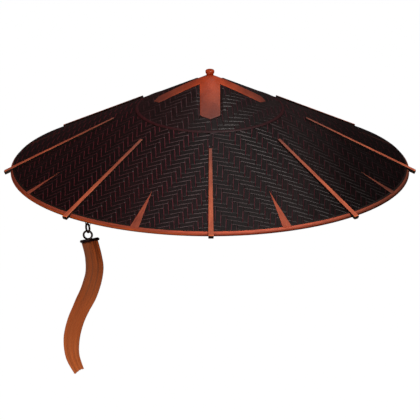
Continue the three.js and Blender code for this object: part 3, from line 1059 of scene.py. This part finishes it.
def wire_ring(outer, height, turn, worn, seed):
    """Upright ring of slightly uneven wire, worn thinner at the angles where other pieces touch it."""
    around, sides = 64, 16
    vertices, uvs = [], []
    for step in range(around):
        angle = 2 * math.pi * step / around
        wear = max(max(0.0, math.cos(angle - math.radians(place))) ** 12 for place in worn)
        uneven = 0.00003 * math.sin(3 * angle + seed) + 0.00002 * math.sin(7 * angle + 2 * seed)
        wire = (RING_WIRE - RING_WEAR * wear + uneven * (1 - wear)) / 2
        for side in range(sides):
            bend = 2 * math.pi * side / sides
            reach = outer - wire + wire * math.cos(bend)
            x, y = turned(reach * math.cos(angle), wire * math.sin(bend), turn)
            vertices.append((CHAIN_X + x, CHAIN_Y + y, height + reach * math.sin(angle)))
            uvs.append((side / sides, angle * outer))
    return vertices, tube_faces(0, around, sides, closed=True), uvs


def rounded(value):
    """Cosine or sine, pushed out toward the sides of a square."""
    return math.copysign(abs(value) ** 0.45, value)


def add_bar_to(vertices, faces, uvs):
    """Adds the bar, with a rounded square section and blunt ends, to a shape."""
    rows, sides = 26, 16
    faces += tube_faces(len(vertices), rows + 1, sides)
    for row in range(rows + 1):
        share = 2 * row / rows - 1
        along = BAR_HALF_LONG * share
        end = max(0.0, (abs(share) - BAR_BLUNT_FROM) / (1 - BAR_BLUNT_FROM))
        squeeze = math.sqrt(1 - BAR_BLUNTING * end ** 2)
        for side in range(sides):
            angle = 2 * math.pi * (side + 0.5) / sides
            deep = rounded(math.cos(angle)) * BAR_HALF_DEEP * squeeze
            high = rounded(math.sin(angle)) * BAR_HALF_HIGH * squeeze
            wobble = BAR_WOBBLE * math.sin(9 * share + angle)
            x, y = turned(along, deep, BAR_TURN)
            vertices.append((BAR_X + x, BAR_Y + y, BAR_Z + high + wobble))
            uvs.append((side / sides, along))


def add_chain():
    """Upper ring, the bar with the lower ring soldered on it, and the staple's material."""
    upper_ring = wire_ring(UPPER_RADIUS, UPPER_Z, UPPER_TURN, (90, -90), 0.6)
    add_piece("upper_ring", upper_ring, [IRON], "link_ring", smooth=True)
    clamp = wire_ring(LOWER_RADIUS, LOWER_Z, LOWER_TURN, (90,), 2.1)
    add_bar_to(*clamp)
    add_piece("clamp_bar", clamp, [IRON], "ribbon_clamp", smooth=True)
    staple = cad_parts["rim_eye"]
    staple.data.materials.clear()
    staple.data.materials.append(IRON)


# Ribbon's sections below the bar, in millimetres and degrees: drop, side, back, turn, tilt and width
RIBBON_SECTIONS = [
    (0, 0, 0, 28, 0, 22),
    (18.3, 4.4, -2, 24, -2, 22),
    (37, 5.5, -5, 8, 3, 22),
    (61, -0.5, -5, 0, -24.6, 22),
    (82.6, -9.7, -2, -27, -15.6, 21.6),
    (102.8, -17.2, 2, -29, -7, 21.8),
    (125.1, -21.6, 5, -27, 6.8, 21.8),
    (146.9, -20.4, 4, -29, 20, 19.6),
    (164.6, -12.7, 0, -25, 16.5, 15),
]
RIBBON_TOP = -0.1274
CLOTH_HALF = 0.00026
HEM_HALF = 0.00042
HEM_SHARE = 0.075
PLEAT_DEPTH = 0.00042
RAGGED_FROM = 0.9


def ribbon_value(column, share):
    """Smooth value between the ribbon's sections."""
    last = len(RIBBON_SECTIONS) - 1
    place = share * last
    index = min(int(place), last - 1)
    part = place - index
    rows = [RIBBON_SECTIONS[min(max(index + offset, 0), last)][column] for offset in (-1, 0, 1, 2)]
    before, low, high, after = rows
    return 0.5 * (
        2 * low + (high - before) * part + (2 * before - 5 * low + 4 * high - after) * part ** 2
        + (3 * low - before - 3 * high + after) * part ** 3
    )


def ribbon_line(steps):
    """Middle points of the ribbon from top to end, and its whole width across at each."""
    middles, acrosses = [], []
    for step in range(steps + 1):
        drop, side, back, turn, tilt, width = (ribbon_value(column, step / steps) for column in range(6))
        turn, tilt = math.radians(turn), math.radians(tilt)
        middles.append(Vector((BAR_X + side / 1000, BAR_Y + back / 1000, RIBBON_TOP - drop / 1000)))
        across = Vector((math.cos(turn) * math.cos(tilt), math.sin(turn) * math.cos(tilt), math.sin(tilt)))
        acrosses.append(across * (width / 1000))
    return middles, acrosses


def pleat(fraction, share):
    """How far the ribbon's middle face stands forward in its pleats, which are shallow at the bar."""
    folds = math.sin(2 * math.pi * (3.1 * fraction + 0.35 * math.sin(2.6 * share + 0.4)))
    folds += 0.5 * math.sin(2 * math.pi * (6.3 * fraction - 0.5 * share) + 1.1)
    return PLEAT_DEPTH * (1 - 0.6 * share) * folds * min(1, 4 * share + 0.2)


def ragged(fraction, share):
    """How far the ribbon reaches further down near its slanted, torn end."""
    if share <= RAGGED_FROM:
        return 0.0
    slant = 0.0022 * math.cos(math.pi * min(1.0, fraction * 1.15 + 0.02))
    torn = 0.0012 * noise.noise(Vector((fraction * 5.0, 3.0, 0)))
    threads = 0.0007 * noise.noise(Vector((fraction * 17.0, 9.0, 0)))
    return (share - RAGGED_FROM) / (1 - RAGGED_FROM) * (slant + torn + threads)


def add_ribbon():
    """Cloth ribbon with soft lengthwise pleats, hemmed sides and a ragged end."""
    along_steps, across_steps = 150, 56
    rows, columns = along_steps + 1, across_steps + 1
    middles, acrosses = ribbon_line(along_steps)
    lengths = [0.0]
    for before, after in zip(middles, middles[1:]):
        lengths.append(lengths[-1] + (after - before).length)
    vertices, uvs = [], []
    for face_side in (-1, 1):
        for step in range(rows):
            share = step / along_steps
            down = (middles[min(step + 1, along_steps)] - middles[max(step - 1, 0)]).normalized()
            front = down.cross(acrosses[step]).normalized()
            for place in range(columns):
                fraction = place / across_steps
                hemmed = min(fraction, 1 - fraction) < HEM_SHARE
                forward = pleat(fraction, share) + face_side * (HEM_HALF if hemmed else CLOTH_HALF)
                point = middles[step] + acrosses[step] * (fraction - 0.5)
                vertices.append(point + front * forward + down * ragged(fraction, share))
                uvs.append((fraction, lengths[step]))
    sheet = rows * columns
    faces = sheet_faces(0, rows, columns)
    faces += sheet_faces(sheet, rows, columns, flipped=True)
    rim = list(range(columns))
    rim += [step * columns + across_steps for step in range(1, rows)]
    rim += [along_steps * columns + place for place in range(across_steps - 1, -1, -1)]
    rim += [step * columns for step in range(along_steps - 1, 0, -1)]
    for here, after in zip(rim, rim[1:] + rim[:1]):
        faces.append((here, after, sheet + after, sheet + here))
    ribbon = add_piece("hung_ribbon", (vertices, faces, uvs), [CLOTH], "ribbon", smooth=True)


add_weave()
add_seam()
add_hoop()
add_ribs()
add_strap()
add_knob()
add_chain()
add_ribbon()


# Floor, world and lights. A light is its name, place, size, power in watts and tint.
FLOOR_Z = -1.5
FLOOR_REACH = 12
WORLD_COLOUR = (1, 0.62, 0.62, 1)
WORLD_STRENGTH = 0.06
LIGHTS = [
    ("key", (0.7, -1.05, 1.8), 0.7, 40, (1.0, 0.97, 0.94)),
    ("side", (-1.75, -1.2, 0.05), 0.7, 9, (1.0, 0.55, 0.36)),
    ("top", (0.2, 0.5, 1.8), 0.8, 2, (1.0, 1.0, 1.0)),
    ("low", (-0.9, -1.5, -0.95), 0.6, 14, (1.0, 0.8, 0.6)),
]
LIGHT_TARGET = Vector((0, 0, -0.05))


def add_floor():
    """Pale floor far below the hat, which neither lights the hat nor shows in its gloss."""
    corners = [(x * FLOOR_REACH, y * FLOOR_REACH, FLOOR_Z) for x, y in ((-1, -1), (1, -1), (1, 1), (-1, 1))]
    mesh = bpy.data.meshes.new("floor")
    mesh.from_pydata(corners, [], [(0, 1, 2, 3)])
    nodes = Nodes("pale_floor", 0.9, specular=0.0)
    nodes.shader.inputs["Base Color"].default_value = (0.02, 0.02, 0.02, 1)
    nodes.shader.inputs["Emission Color"].default_value = (1, 1, 1, 1)
    nodes.shader.inputs["Emission Strength"].default_value = 1.0
    mesh.materials.append(nodes.material)
    floor = bpy.data.objects.new("floor", mesh)
    bpy.context.scene.collection.objects.link(floor)
    floor.visible_diffuse = False
    floor.visible_glossy = False


def add_lights():
    """Dim reddish world and four soft lights."""
    world = bpy.data.worlds.new("world")
    world.use_nodes = True
    background = world.node_tree.nodes["Background"]
    background.inputs["Color"].default_value = WORLD_COLOUR
    background.inputs["Strength"].default_value = WORLD_STRENGTH
    bpy.context.scene.world = world
    for name, place, size, power, tint in LIGHTS:
        data = bpy.data.lights.new(name, "AREA")
        data.shape = "DISK"
        data.size = size
        data.energy = power
        data.color = tint
        light = bpy.data.objects.new(name, data)
        light.location = place
        light.rotation_euler = (LIGHT_TARGET - Vector(place)).to_track_quat("-Z", "Y").to_euler()
        bpy.context.scene.collection.objects.link(light)


add_floor()
add_lights()
bpy.context.scene.view_settings.view_transform = "Standard"
